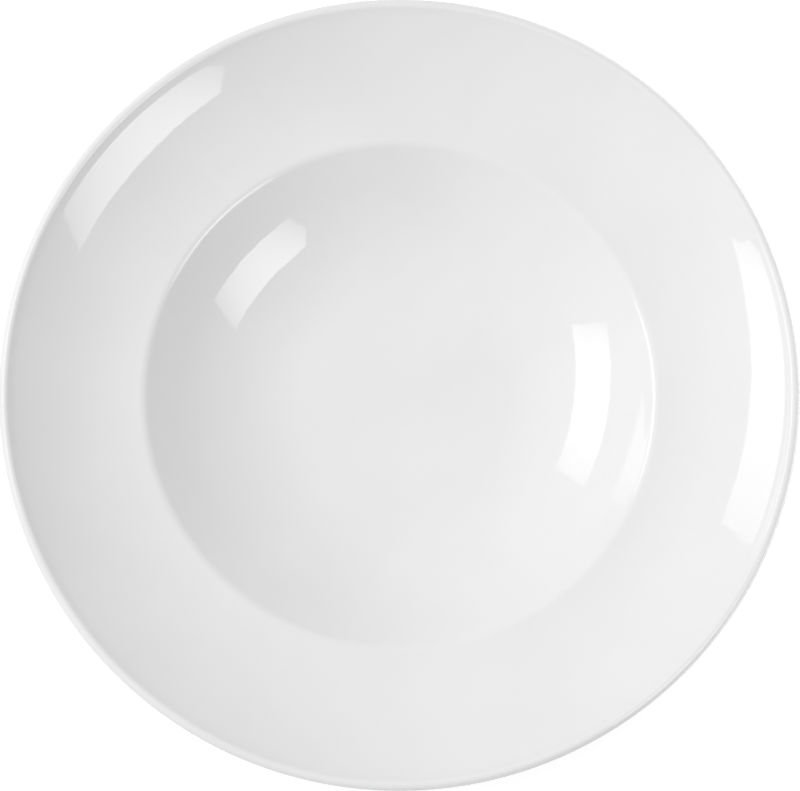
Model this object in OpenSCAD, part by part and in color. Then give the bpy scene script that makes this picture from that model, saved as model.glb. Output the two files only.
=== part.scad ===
// Pasta plate: a deep round plate with a wide dished rim, fired in one piece and glazed.
// Every face is a profile turned about the Z axis, and the plate stands on Z = 0.

/* [Body] */
// Diameter over the rim's rounded edge
plate_d = 300; // [270:1:330]
// Thickness of the floor, from its upper face to the base inside the foot ring
floor_t = 5; // [4:0.1:7]
// Thickness of the well's wall and of the lip
wall_t = 5; // [4:0.1:6]
// Thickness of the rim at its rounded edge
edge_t = 4.4; // [3:0.1:5.4]

/* [Well] */
// Diameter of the flat floor
floor_d = 81; // [60:1:100]
// Diameter of the well where its wall ends and the lip begins
well_d = 192; // [176:1:210]
// Width of the nearly straight wall below the lip, seen from above
wall_w = 11.3; // [8:0.1:16]
// Tilt of the wall at its lower end, in degrees
wall_tilt = 34; // [28:0.5:40]
// Radius of the wall's slight hollow, from its lower end to the lip
wall_arc = 210; // [120:5:400]
// Radius of the inside corner below the lip, so the lip's own radius is larger by wall_t
lip_corner = 1; // [0.8:0.1:5]

/* [Rim] */
// Tilt of the rim beside the lip, in degrees
rim_start = 4; // [0:0.5:12]
// Tilt of the rim where the curled band at its edge begins, in degrees
rim_end = 33; // [24:0.5:40]
// Tilt of the curled band at the rounded edge, in degrees
curl_end = 42.5; // [36:0.5:55]
// Width of the curled band, seen from above
curl_w = 6.6; // [5:0.1:10]

/* [Foot ring] */
// Distance from the flat floor's edge out to the ring's outer side
foot_reach = 20.5; // [18:0.5:30]
// Width of the ring over its glazed sides
foot_w = 6.5; // [5:0.1:9]
// Height of the ring on its inner side
foot_h = 3.8; // [3.4:0.1:6]
// Radius between the ring's outer side and the plate's underside
foot_fillet = 4; // [2:0.1:5]
// Radius between the ring's inner side and the base
base_fillet = 1.2; // [0.6:0.1:1.8]
// Rounding of the ring's two standing edges
foot_round = 0.8; // [0.4:0.1:1.2]

/* [Glaze] */
// Thickness of the glaze
glaze_t = 0.4; // [0.3:0.05:0.6]
// Height of the band above the rounded standing edge that is wiped free of glaze
wipe_h = 0.6; // [0.3:0.1:1]

/* [Hidden] */
$fn = 128;
// Largest distance between a round stretch and the chords that draw it
chord_gap = 0.02;
body_colour = [0.90, 0.88, 0.84];
glaze_colour = [0.96, 0.96, 0.95];

floor_r = floor_d / 2;
floor_z = foot_h + floor_t;
plate_r = plate_d / 2;
edge_r = edge_t / 2;
foot_out = floor_r + foot_reach;
foot_in = foot_out - foot_w;
glaze_line = foot_round + wipe_h;

// Upward normal of a face that rises outwards at a tilt
function normal(tilt) = [-sin(tilt), cos(tilt)];

// A round stretch of the upper face is [centre, radius, first tilt, last tilt].
// Its radius is negative where the centre lies below the face.
// This is its point at a tilt, moved down into the wall by a depth.
function point(stretch, tilt, depth) = stretch[0] - (stretch[1] + depth) * normal(tilt);

// The same stretch, run from its far end
function turned(stretch) = [stretch[0], stretch[1], stretch[3], stretch[2]];

// Number of chords that keeps a turn of a radius within chord_gap
function chords(radius, turn) = ceil(abs(turn) / (2 * acos(1 - chord_gap / abs(radius))));

// Angles from one value to another, without the first
function sweep(radius, first, last) =
    let (n = chords(radius, last - first))
    [for (i = [1:n]) first + (last - first) * i / n];

// Points of an arc from one angle to another, without the first
function arc(centre, radius, first, last) =
    [for (a = sweep(radius, first, last)) centre + radius * [cos(a), sin(a)]];

function reversed(list) = [for (i = [len(list) - 1:-1:0]) list[i]];

// The well leaves the floor level and reaches the wall's tilt where the wall begins
wall_x = well_d / 2 - wall_w;
well_arc = (wall_x - floor_r) / sin(wall_tilt);
well = [[floor_r, floor_z + well_arc], well_arc, 0, wall_tilt];

// The wall is a much wider arc that steepens a little up to the lip
lip_tilt = asin(sin(wall_tilt) + wall_w / wall_arc);
wall = [point(well, wall_tilt, -wall_arc), wall_arc, wall_tilt, lip_tilt];

// The lip turns the wall's tilt down to the rim's
lip_r = wall_t + lip_corner;
lip = [point(wall, lip_tilt, lip_r), -lip_r, lip_tilt, rim_start];

// The rim is one wide arc, and a tighter one curls its outer band up to the edge
rim_from = point(lip, rim_start, 0);
curl_x = plate_r - curl_w;
rim_arc = (curl_x - rim_from.x) / (sin(rim_end) - sin(rim_start));
rim = [rim_from + rim_arc * normal(rim_start), rim_arc, rim_start, rim_end];
edge_x = plate_r - edge_r * (1 + sin(curl_end));
curl_arc = (edge_x - curl_x) / (sin(curl_end) - sin(rim_end));
curl = [point(rim, rim_end, -curl_arc), curl_arc, rim_end, curl_end];
edge_centre = point(curl, curl_end, edge_r);

// The fillet of the foot ring touches the ring's side and the underside of the well.
// The heel is the stretch of the well from the wall down to that fillet.
fillet_reach = well_arc + wall_t + foot_fillet;
fillet_x = foot_out + foot_fillet;
heel_tilt = asin((fillet_x - floor_r) / fillet_reach);
fillet_centre = point(well, heel_tilt, wall_t + foot_fillet);
heel = [well[0], well_arc, wall_tilt, heel_tilt];

// Wall thickness below a point of the upper face: even to the lip, then tapered to the edge
function thickness(x) = wall_t + (edge_t - wall_t) * max(0, x - rim_from.x) / (edge_x - rim_from.x);

// The outlines below are the glazed faces where inset is 0, and the body's where it is glaze_t

// Upper face, from the axis to the edge
function upper_face(inset) = concat(
    [[0, floor_z - inset], point(well, 0, inset)],
    [for (s = [well, wall, lip, rim, curl]) for (t = sweep(s[1], s[2], s[3])) point(s, t, inset)]
);

// Underside, round the edge and down to the foot ring's outer side
function underside(inset) = concat(
    arc(edge_centre, edge_r - inset, 90 + curl_end, curl_end - 90),
    [
        for (s = [turned(curl), turned(rim), turned(lip), turned(wall), heel])
        for (t = sweep(s[1], s[2], s[3]))
        point(s, t, thickness(point(s, t, 0).x) - inset)
    ],
    arc(fillet_centre, foot_fillet + inset, 90 + heel_tilt, 180)
);

// Base inside the foot ring, from the ring's inner side to the axis
function base(inset) = concat(
    [[foot_in + inset, foot_h - base_fillet]],
    arc([foot_in - base_fillet, foot_h - base_fillet], base_fillet + inset, 0, 90),
    [[0, foot_h + inset]]
);

// Bare part of the foot ring, from its outer side under the standing face to its inner side
function standing_ring() = concat(
    [[foot_out - glaze_t, foot_round]],
    arc([foot_out - glaze_t - foot_round, foot_round], foot_round, 0, -90),
    [[foot_in + glaze_t + foot_round, 0]],
    arc([foot_in + glaze_t + foot_round, foot_round], foot_round, -90, -180)
);

// Rounded end of the glaze where it was wiped off the ring's outer side
function outer_glaze_end() = concat(
    [[foot_out, glaze_line + glaze_t]],
    arc([foot_out - glaze_t, glaze_line + glaze_t], glaze_t, 0, -90)
);

// Rounded end of the glaze where it was wiped off the ring's inner side
function inner_glaze_end() = concat(
    [[foot_in + glaze_t, glaze_line]],
    arc([foot_in + glaze_t, glaze_line + glaze_t], glaze_t, -90, -180)
);

// Fired body with its foot ring, bare only where the plate stands
module porcelain_body() {
    color(body_colour)
    rotate_extrude()
    polygon(concat(upper_face(glaze_t), underside(glaze_t), standing_ring(), base(glaze_t)));
}

// Glaze over the upper face, round the edge and down to the foot ring
module glaze_coat() {
    color(glaze_colour)
    rotate_extrude()
    polygon(concat(
        upper_face(0),
        underside(0),
        outer_glaze_end(),
        reversed(concat(upper_face(glaze_t), underside(glaze_t)))
    ));
}

// Glaze on the base inside the foot ring
module base_glaze() {
    color(glaze_colour)
    rotate_extrude()
    polygon(concat(base(0), reversed(base(glaze_t)), inner_glaze_end()));
}

porcelain_body();
glaze_coat();
base_glaze();
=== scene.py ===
"""Pasta plate in white glazed porcelain, on a white table in a white studio with soft lamps."""
import math
import bpy
import numpy as np
from mathutils import Matrix, Vector


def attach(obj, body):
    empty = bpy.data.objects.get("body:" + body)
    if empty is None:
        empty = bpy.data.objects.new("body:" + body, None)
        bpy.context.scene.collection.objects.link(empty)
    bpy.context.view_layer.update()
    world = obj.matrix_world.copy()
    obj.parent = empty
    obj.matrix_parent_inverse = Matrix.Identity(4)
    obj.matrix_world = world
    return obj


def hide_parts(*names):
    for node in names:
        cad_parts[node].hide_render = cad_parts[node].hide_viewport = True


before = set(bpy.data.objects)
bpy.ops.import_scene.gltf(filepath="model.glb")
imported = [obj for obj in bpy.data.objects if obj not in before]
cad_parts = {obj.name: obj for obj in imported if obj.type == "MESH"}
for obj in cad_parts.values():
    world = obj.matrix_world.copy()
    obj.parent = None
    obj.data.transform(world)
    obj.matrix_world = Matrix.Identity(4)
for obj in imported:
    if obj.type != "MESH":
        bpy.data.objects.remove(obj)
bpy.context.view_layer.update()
scene = bpy.context.scene

# Sizes of the plate in millimetres, and tilts in degrees
PLATE_R = 150.0  # over the rounded edge
FLOOR_R = 40.5  # flat part of the floor
FLOOR_T = 5.0
WELL_R = 96.0  # where the well's wall ends and the lip begins
WALL_W = 11.3  # nearly straight wall below the lip, seen from above
WALL_TILT = 34.0  # at the wall's lower end
WALL_ARC = 210.0  # radius of the wall's slight hollow
WALL_T = 5.0
LIP_CORNER = 1.0  # radius of the inside corner below the lip
RIM_START = 4.0  # tilt beside the lip
RIM_END = 33.0  # tilt where the curled band begins
CURL_END = 42.5  # tilt of the curled band at the rounded edge
CURL_W = 6.6  # curled band, seen from above
EDGE_T = 4.4
FOOT_REACH = 20.5  # from the flat floor's edge out to the ring's outer side
FOOT_W = 6.5
FOOT_H = 3.8  # on the ring's inner side
FOOT_FILLET = 4.0  # between the ring's outer side and the underside
BASE_FILLET = 1.2  # between the ring's inner side and the base
FOOT_ROUND = 0.8  # standing edges
GLAZE_T = 0.4
WIPE_H = 0.6  # band above the standing edges that is wiped free of glaze

FLOOR_Z = FOOT_H + FLOOR_T
LIP_R = WALL_T + LIP_CORNER
EDGE_R = EDGE_T / 2
FOOT_OUT = FLOOR_R + FOOT_REACH
FOOT_IN = FOOT_OUT - FOOT_W
GLAZE_LINE = FOOT_ROUND + WIPE_H

# Steps of the meshes, round the plate and along the small round stretches of the profile
AROUND = 320
EDGE_STEPS = 18
FILLET_STEPS = 9
BASE_FILLET_STEPS = 8
FOOT_ROUND_STEPS = 6
GLAZE_END_STEPS = 5
HIDDEN_SHARE = 0.3  # share of the steps that the faces hidden under the glaze keep
SHARP_ANGLE = 40  # degrees between faces that aren't smoothed together
MM_PER_M = 1000


def normal(tilt):
    """Upward normals, as rows (-sin, cos), of a face that rises outwards at each tilt in degrees."""
    turn = np.radians(np.atleast_1d(tilt))
    return np.stack([-np.sin(turn), np.cos(turn)], axis=-1)


def on_stretch(centre, radius, tilts, depth):
    """Points of a round stretch: centre minus (radius plus depth) times the normal at each tilt.

    The radius is negative where the centre lies below the face.
    """
    return np.asarray(centre) - (radius + np.asarray(depth)).reshape(-1, 1) * normal(tilts)


def arc(centre, radius, first, last, steps):
    """Points centre + radius (cos a, sin a) for angles a from first to last in degrees, without the first."""
    turn = np.radians(np.linspace(first, last, steps + 1)[1:])
    return np.asarray(centre) + radius * np.stack([np.cos(turn), np.sin(turn)], axis=-1)


def thinned(steps, share, least=3):
    """Number of steps left when only a share of them is kept, and never fewer than least."""
    return max(least, int(steps * share))


# Round stretches of the upper face, each tangent to the next: well, wall, lip, rim and curled band
sin_wall, sin_start, sin_end, sin_curl = (
    math.sin(math.radians(tilt)) for tilt in (WALL_TILT, RIM_START, RIM_END, CURL_END)
)
well_arc = (WELL_R - WALL_W - FLOOR_R) / sin_wall
well_centre = np.array([FLOOR_R, FLOOR_Z + well_arc])
wall_centre = well_centre - (well_arc - WALL_ARC) * normal(WALL_TILT)[0]
lip_tilt = math.degrees(math.asin(sin_wall + WALL_W / WALL_ARC))
lip_centre = wall_centre - (WALL_ARC + LIP_R) * normal(lip_tilt)[0]
rim_from = on_stretch(lip_centre, -LIP_R, RIM_START, 0.0)[0]
curl_x = PLATE_R - CURL_W
rim_arc = (curl_x - rim_from[0]) / (sin_end - sin_start)
rim_centre = rim_from + rim_arc * normal(RIM_START)[0]
edge_x = PLATE_R - EDGE_R * (1 + sin_curl)
curl_arc = (edge_x - curl_x) / (sin_curl - sin_end)
curl_centre = rim_centre - (rim_arc - curl_arc) * normal(RIM_END)[0]
edge_centre = curl_centre - (curl_arc + EDGE_R) * normal(CURL_END)[0]

# The foot ring's fillet touches the ring's outer side and the underside of the well, at the heel
fillet_reach = well_arc + WALL_T + FOOT_FILLET
heel_tilt = math.degrees(math.asin((FOOT_OUT + FOOT_FILLET - FLOOR_R) / fillet_reach))
fillet_centre = on_stretch(well_centre, well_arc, heel_tilt, WALL_T + FOOT_FILLET)[0]

# Each row is a stretch's centre, radius, first tilt, last tilt and steps, out on the face and back below it
FACE = [
    (well_centre, well_arc, 0.0, WALL_TILT, 44),
    (wall_centre, WALL_ARC, WALL_TILT, lip_tilt, 10),
    (lip_centre, -LIP_R, lip_tilt, RIM_START, 18),
    (rim_centre, rim_arc, RIM_START, RIM_END, 26),
    (curl_centre, curl_arc, RIM_END, CURL_END, 10),
]
BACK = [
    (curl_centre, curl_arc, CURL_END, RIM_END, 5),
    (rim_centre, rim_arc, RIM_END, RIM_START, 14),
    (lip_centre, -LIP_R, RIM_START, lip_tilt, 10),
    (wall_centre, WALL_ARC, lip_tilt, WALL_TILT, 4),
    (well_centre, well_arc, WALL_TILT, heel_tilt, 12),
]


def upper_face(inset, share=1.0):
    """Profile of the upper face from the axis to the edge, moved into the wall by inset.

    It is the flat floor and then the stretches of FACE, and share thins their steps.
    """
    floor_z = FLOOR_Z - inset
    rows = [np.array([[0.0, floor_z], [FLOOR_R / 2, floor_z], [FLOOR_R, floor_z]])]
    for centre, radius, first, last, steps in FACE:
        tilts = np.linspace(first, last, thinned(steps, share) + 1)[1:]
        rows.append(on_stretch(centre, radius, tilts, inset))
    return np.concatenate(rows)


def underside(inset, share=1.0):
    """Profile round the edge and down the back to the foot ring.

    The back is the upper face moved in by the wall's thickness, which is even to the lip and then tapers to
    the edge.
    """
    edge_steps = thinned(EDGE_STEPS, share, least=5)
    fillet_steps = thinned(FILLET_STEPS, share, least=4)
    rows = [arc(edge_centre, EDGE_R - inset, 90 + CURL_END, CURL_END - 90, edge_steps)]
    for centre, radius, first, last, steps in BACK:
        tilts = np.linspace(first, last, thinned(steps, share) + 1)[1:]
        past_lip = np.maximum(0, on_stretch(centre, radius, tilts, 0.0)[:, 0] - rim_from[0])
        thickness = WALL_T + (EDGE_T - WALL_T) * past_lip / (edge_x - rim_from[0])
        rows.append(on_stretch(centre, radius, tilts, thickness - inset))
    rows.append(arc(fillet_centre, FOOT_FILLET + inset, 90 + heel_tilt, 180, fillet_steps))
    return np.concatenate(rows)


def base(inset):
    """Profile of the base inside the foot ring, from the ring's inner side to the axis."""
    fillet_x, fillet_z = FOOT_IN - BASE_FILLET, FOOT_H - BASE_FILLET
    return np.concatenate([
        [[FOOT_IN + inset, fillet_z]],
        arc((fillet_x, fillet_z), BASE_FILLET + inset, 0, 90, BASE_FILLET_STEPS),
        [[FOOT_IN / 2, FOOT_H + inset], [0.0, FOOT_H + inset]],
    ])


def lathe(name, profile):
    """Surface of revolution: each profile point (r, z) turned by angle a becomes (r cos a, r sin a, z).

    The profile starts and ends on the axis, where fans of triangles close the two poles, and the last column
    of quads joins the first.
    """
    ring = profile[1:-1] / MM_PER_M
    count = len(ring)
    turn = np.arange(AROUND) * (2 * np.pi / AROUND)
    radius, height = ring[:, :1], ring[:, 1:]
    grid = np.stack([radius * np.cos(turn), radius * np.sin(turn), height + 0 * turn], axis=-1)
    poles = np.array([[0, 0, profile[0, 1]], [0, 0, profile[-1, 1]]]) / MM_PER_M
    row = np.arange(count - 1)[:, None] * AROUND
    column = np.arange(AROUND)
    beside = (column + 1) % AROUND
    quads = np.stack([row + column, row + AROUND + column, row + AROUND + beside, row + beside], axis=-1)
    last_row = (count - 1) * AROUND
    first_pole = np.full(AROUND, count * AROUND)
    first_fan = np.stack([first_pole, column, beside], axis=-1)
    last_fan = np.stack([last_row + column, first_pole + 1, last_row + beside], axis=-1)
    points = np.concatenate([grid.reshape(-1, 3), poles])
    faces = quads.reshape(-1, 4).tolist() + first_fan.tolist() + last_fan.tolist()
    mesh = bpy.data.meshes.new(name)
    mesh.from_pydata(points.tolist(), [], faces)
    mesh.shade_smooth()
    mesh.set_sharp_from_angle(angle=math.radians(SHARP_ANGLE))
    mesh.update()
    piece = bpy.data.objects.new(name, mesh)
    scene.collection.objects.link(piece)
    return piece


def maths(tree, operation, *values):
    """Result of a math node whose inputs are sockets or plain numbers."""
    node = tree.nodes.new("ShaderNodeMath")
    node.operation = operation
    for socket, value in zip(node.inputs, values):
        if isinstance(value, float):
            socket.default_value = value
        else:
            tree.links.new(value, socket)
    return node.outputs[0]


def dot(tree, vector, direction):
    """Dot product of a vector socket with a fixed direction."""
    node = tree.nodes.new("ShaderNodeVectorMath")
    node.operation = "DOT_PRODUCT"
    node.inputs[1].default_value = direction
    tree.links.new(vector, node.inputs[0])
    return node.outputs["Value"]


def seen_straight(tree):
    """1 for camera, glossy and transmission rays, and 0 for the light that a surface scatters."""
    path = tree.nodes.new("ShaderNodeLightPath")
    either = maths(tree, "MAXIMUM", path.outputs["Is Camera Ray"], path.outputs["Is Glossy Ray"])
    return maths(tree, "MAXIMUM", either, path.outputs["Is Transmission Ray"])


def noise(tree, scale, detail):
    """Noise over the piece's own coordinates."""
    where = tree.nodes.new("ShaderNodeTexCoord")
    node = tree.nodes.new("ShaderNodeTexNoise")
    node.inputs["Scale"].default_value = scale
    node.inputs["Detail"].default_value = detail
    tree.links.new(where.outputs["Object"], node.inputs["Vector"])
    return node.outputs["Fac"]


def toned(tree, pattern, low, low_colour, high, high_colour):
    """Colour that runs from low_colour, where the pattern is at low, to high_colour, where it is at high."""
    ramp = tree.nodes.new("ShaderNodeValToRGB")
    start, end = ramp.color_ramp.elements
    start.position, end.position = low, high
    start.color, end.color = (*low_colour, 1), (*high_colour, 1)
    tree.links.new(pattern, ramp.inputs["Fac"])
    return ramp.outputs["Color"]


def between(tree, pattern, low, high):
    """Value that runs from low to high as the pattern runs from 0 to 1."""
    span = tree.nodes.new("ShaderNodeMapRange")
    span.inputs["To Min"].default_value = low
    span.inputs["To Max"].default_value = high
    tree.links.new(pattern, span.inputs["Value"])
    return span.outputs["Result"]


def rippled(tree, pattern, strength, distance):
    """Normal of a face whose height follows the pattern, over a distance in metres."""
    bump = tree.nodes.new("ShaderNodeBump")
    bump.inputs["Strength"].default_value = strength
    bump.inputs["Distance"].default_value = distance
    tree.links.new(pattern, bump.inputs["Height"])
    return bump.outputs["Normal"]


def new_material(name):
    """Plain material, with its node tree and its shader."""
    material = bpy.data.materials.new(name)
    material.use_nodes = True
    return material, material.node_tree, material.node_tree.nodes["Principled BSDF"]


def glaze_material(name):
    """White gloss glaze: a faint cloudy tone, a slightly uneven gloss and a very low orange-peel ripple."""
    material, tree, shader = new_material(name)
    shader.inputs["IOR"].default_value = 1.5
    shader.inputs["Specular IOR Level"].default_value = 1.0
    cloud = noise(tree, scale=26, detail=3)
    peel = noise(tree, scale=160, detail=1)
    tone = toned(tree, cloud, 0.35, (0.845, 0.845, 0.845), 0.65, (0.865, 0.865, 0.865))
    tree.links.new(tone, shader.inputs["Base Color"])
    tree.links.new(between(tree, cloud, 0.02, 0.05), shader.inputs["Roughness"])
    tree.links.new(rippled(tree, peel, strength=0.02, distance=0.001), shader.inputs["Normal"])
    return material


def bare_porcelain_material(name):
    """Unglazed porcelain: a matt, slightly warm body with fine dark specks and a sanded grain."""
    material, tree, shader = new_material(name)
    shader.inputs["IOR"].default_value = 1.45
    speck = noise(tree, scale=900, detail=4)
    tone = toned(tree, speck, 0.30, (0.66, 0.62, 0.56), 0.48, (0.80, 0.78, 0.73))
    tree.links.new(tone, shader.inputs["Base Color"])
    tree.links.new(between(tree, speck, 0.55, 0.80), shader.inputs["Roughness"])
    tree.links.new(rippled(tree, speck, strength=0.25, distance=0.0002), shader.inputs["Normal"])
    return material


TABLE_TONE = 0.65
TABLE_GLOW = 0.58  # lifts the lit table to white where it is seen straight or in a mirror image
TABLE_HALF = 40.0  # half of the table's side, in metres


def table_material(name):
    """White table: a camera or a mirror image sees it at full white, and it still takes a shadow."""
    material, tree, shader = new_material(name)
    shader.inputs["Base Color"].default_value = (TABLE_TONE, TABLE_TONE, TABLE_TONE, 1)
    shader.inputs["Roughness"].default_value = 0.9
    shader.inputs["Specular IOR Level"].default_value = 0.0
    shader.inputs["Emission Color"].default_value = (1, 1, 1, 1)
    glow = maths(tree, "MULTIPLY", seen_straight(tree), TABLE_GLOW)
    tree.links.new(glow, shader.inputs["Emission Strength"])
    return material


# Glaze over the upper face, round the edge and down to the wiped line on the foot ring
coat = lathe("glaze_coat_skin", np.concatenate([
    upper_face(0),
    underside(0),
    [[FOOT_OUT, GLAZE_LINE + GLAZE_T]],
    arc((FOOT_OUT - GLAZE_T, GLAZE_LINE + GLAZE_T), GLAZE_T, 0, -90, GLAZE_END_STEPS),
    np.concatenate([upper_face(GLAZE_T, HIDDEN_SHARE), underside(GLAZE_T, HIDDEN_SHARE)])[::-1],
]))

# Fired body, bare only on the foot ring's standing edge
body = lathe("porcelain_body_clay", np.concatenate([
    upper_face(GLAZE_T, HIDDEN_SHARE),
    underside(GLAZE_T, HIDDEN_SHARE),
    [[FOOT_OUT - GLAZE_T, FOOT_ROUND]],
    arc((FOOT_OUT - GLAZE_T - FOOT_ROUND, FOOT_ROUND), FOOT_ROUND, 0, -90, FOOT_ROUND_STEPS),
    [[FOOT_IN + GLAZE_T + FOOT_ROUND, 0]],
    arc((FOOT_IN + GLAZE_T + FOOT_ROUND, FOOT_ROUND), FOOT_ROUND, -90, -180, FOOT_ROUND_STEPS),
    base(GLAZE_T),
]))

# Glaze on the base inside the foot ring
disc = lathe("base_glaze_skin", np.concatenate([
    base(GLAZE_T)[::-1],
    [[FOOT_IN + GLAZE_T, GLAZE_LINE]],
    arc((FOOT_IN + GLAZE_T, GLAZE_LINE + GLAZE_T), GLAZE_T, -90, -180, GLAZE_END_STEPS),
    base(0),
]))

glaze = glaze_material("white_glaze")
clay = bare_porcelain_material("bare_porcelain")
for piece, node, slot, material in (
    (coat, "glaze_coat", "glaze", glaze),
    (disc, "base_glaze", "glaze", glaze),
    (body, "porcelain_body", "porcelain", clay),
):
    piece.data.materials.append(material)
    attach(piece, "root")
    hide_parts(node)

# The table, a flat square under the foot ring
table_corners = np.array([(-1, -1, 0), (1, -1, 0), (1, 1, 0), (-1, 1, 0)]) * TABLE_HALF
table_mesh = bpy.data.meshes.new("table_top")
table_mesh.from_pydata(table_corners.tolist(), [], [(0, 1, 2, 3)])
table_mesh.materials.append(table_material("white_table"))
table = bpy.data.objects.new("table_top", table_mesh)
scene.collection.objects.link(table)

# The lamps are placed round a point on the plate's axis
LAMP_HUB = Vector((0, 0, 0.035))
LAMP_FALL = 0.65  # share of a lamp's glow that is lost at its two ends


def softbox(name, polar, azimuth, distance, roll, pitch, first, last, width, radiance, cuts=()):
    """Flat lamp in the direction polar, azimuth from the hub, in degrees, with its face towards the hub.

    Its length runs across that direction from first to last, turned by roll, and pitch leans its upper side
    away. Its glow falls with the square of the distance from its middle, to about a third at its two ends.
    Each cut is a line through two points (along, up) of the lamp, and the side of the line away from the
    middle stays dark. Distances and lengths are in metres.
    """
    polar, azimuth, roll, pitch = (math.radians(angle) for angle in (polar, azimuth, roll, pitch))
    sideways = math.sin(polar)
    out = Vector((sideways * math.cos(azimuth), sideways * math.sin(azimuth), math.cos(polar)))
    across = Vector((0, 0, 1)).cross(out).normalized()
    along = math.cos(roll) * across + math.sin(roll) * out.cross(across)
    up = math.cos(pitch) * out.cross(along) + math.sin(pitch) * out
    length = last - first
    middle = (first + last) / 2
    at = distance * out + LAMP_HUB + middle * along

    lamp = bpy.data.lights.new(name, "AREA")
    lamp.shape = "RECTANGLE"
    lamp.size = length
    lamp.size_y = width
    lamp.energy = radiance * math.pi * length * width
    lamp.use_nodes = True
    tree = lamp.node_tree
    place = tree.nodes.new("ShaderNodeNewGeometry")
    offset = tree.nodes.new("ShaderNodeVectorMath")
    offset.operation = "SUBTRACT"
    offset.inputs[1].default_value = at
    tree.links.new(place.outputs["Position"], offset.inputs[0])
    from_middle = offset.outputs["Vector"]
    run = dot(tree, from_middle, along * (2 / length))
    strength = maths(tree, "MULTIPLY_ADD", maths(tree, "MULTIPLY", run, run), -LAMP_FALL, 1.0)
    for along_1, up_1, along_2, up_2 in cuts:
        square_to_line = Vector((up_1 - up_2, along_2 - along_1))
        limit = square_to_line.dot(Vector((along_1 - middle, up_1)))
        inward = math.copysign(1, -limit)
        reach = dot(tree, from_middle, inward * (square_to_line.x * along + square_to_line.y * up))
        strength = maths(tree, "MULTIPLY", maths(tree, "GREATER_THAN", reach, inward * limit), strength)
    tree.links.new(strength, tree.nodes["Emission"].inputs["Strength"])

    holder = bpy.data.objects.new(name, lamp)
    facing = Matrix((along, up, along.cross(up))).transposed().to_4x4()
    holder.matrix_world = Matrix.Translation(at) @ facing
    holder.visible_camera = False
    scene.collection.objects.link(holder)


softbox(
    "left_softbox", polar=42.90, azimuth=149.63, distance=0.497, roll=5.90, pitch=22.52,
    first=-0.0585, last=0.2775, width=0.1935, radiance=1.75,
    cuts=((0.235, 0.095, 0.277, -0.095), (-0.040, 0.095, -0.058, -0.095)),
)
softbox(
    "right_softbox", polar=39.75, azimuth=-27.39, distance=0.983, roll=-9.20, pitch=7.76,
    first=-0.3050, last=0.1680, width=0.3350, radiance=2.3,
    cuts=((-0.305, 0.020, -0.232, 0.170),),
)
softbox(
    "left_card", polar=69.1, azimuth=158.5, distance=0.8, roll=5.5, pitch=0.0,
    first=-0.205, last=0.180, width=0.064, radiance=0.8,
    cuts=((0.150, 0.032, -0.060, -0.020),),
)
softbox(
    "right_card", polar=90.5, azimuth=8.0, distance=0.24, roll=0.0, pitch=0.0,
    first=-0.300, last=0.500, width=0.044, radiance=2.5,
)

# Light that the studio scatters onto the plate, from each direction
STUDIO_LEVEL = 0.338
STUDIO_SLOPE = (-0.786, 0.297, 0.674)
STUDIO_LEAN = (0.662, -0.611, 0.0)
LEAN_POWER = 3.0  # how fast the lean fades with height
STUDIO_WHITE = 1.0  # what the camera and mirror images see of the studio


def studio_world(name):
    """White studio: level + slope . d + (lean . d) (1 - height)^power for a direction d, and never below 0.

    Camera, glossy and transmission rays see it as plain white instead.
    """
    world = bpy.data.worlds.new(name)
    world.use_nodes = True
    tree = world.node_tree
    heading = tree.nodes.new("ShaderNodeTexCoord").outputs["Generated"]
    parts = tree.nodes.new("ShaderNodeSeparateXYZ")
    tree.links.new(heading, parts.inputs[0])
    graded = maths(tree, "ADD", dot(tree, heading, STUDIO_SLOPE), STUDIO_LEVEL)
    lowness = maths(tree, "POWER", maths(tree, "SUBTRACT", 1.0, parts.outputs["Z"]), LEAN_POWER)
    leaning = maths(tree, "MULTIPLY_ADD", dot(tree, heading, STUDIO_LEAN), lowness, graded)
    white = tree.nodes.new("ShaderNodeMix")
    white.inputs["B"].default_value = STUDIO_WHITE
    tree.links.new(seen_straight(tree), white.inputs["Factor"])
    tree.links.new(maths(tree, "MAXIMUM", leaning, 0.0), white.inputs["A"])
    background = tree.nodes["Background"]
    background.inputs["Color"].default_value = (1, 1, 1, 1)
    tree.links.new(white.outputs["Result"], background.inputs["Strength"])
    return world


scene.world = studio_world("studio")

# The camera stands nearly above the plate, a little towards its lower side in the picture
SENSOR_WIDTH = 36  # millimetres, as the lens
LENS = 108.14
EYE_DISTANCE = 0.9  # metres from the middle of the rim
EYE_LEAN = (0.38, -9.31)  # degrees from straight above, along X and Y
AIM = (0.00031, -0.00396)  # metres from the plate's axis, at the rim's height

rim_height = edge_centre[1] / MM_PER_M
lean = Vector((math.sin(math.radians(EYE_LEAN[0])), math.sin(math.radians(EYE_LEAN[1])), 0))
lean.z = math.sqrt(1 - lean.length_squared)
eye = EYE_DISTANCE * lean + Vector((0, 0, rim_height))
back = (eye - Vector((*AIM, rim_height))).normalized()
right = Vector((0, 1, 0)).cross(back).normalized()
camera_data = bpy.data.cameras.new("camera")
camera_data.sensor_fit = "HORIZONTAL"
camera_data.sensor_width = SENSOR_WIDTH
camera_data.lens = LENS
camera = bpy.data.objects.new("camera", camera_data)
facing = Matrix((right, back.cross(right), back)).transposed().to_4x4()
camera.matrix_world = Matrix.Translation(eye) @ facing
scene.collection.objects.link(camera)
scene.camera = camera

scene.view_settings.view_transform = "Standard"
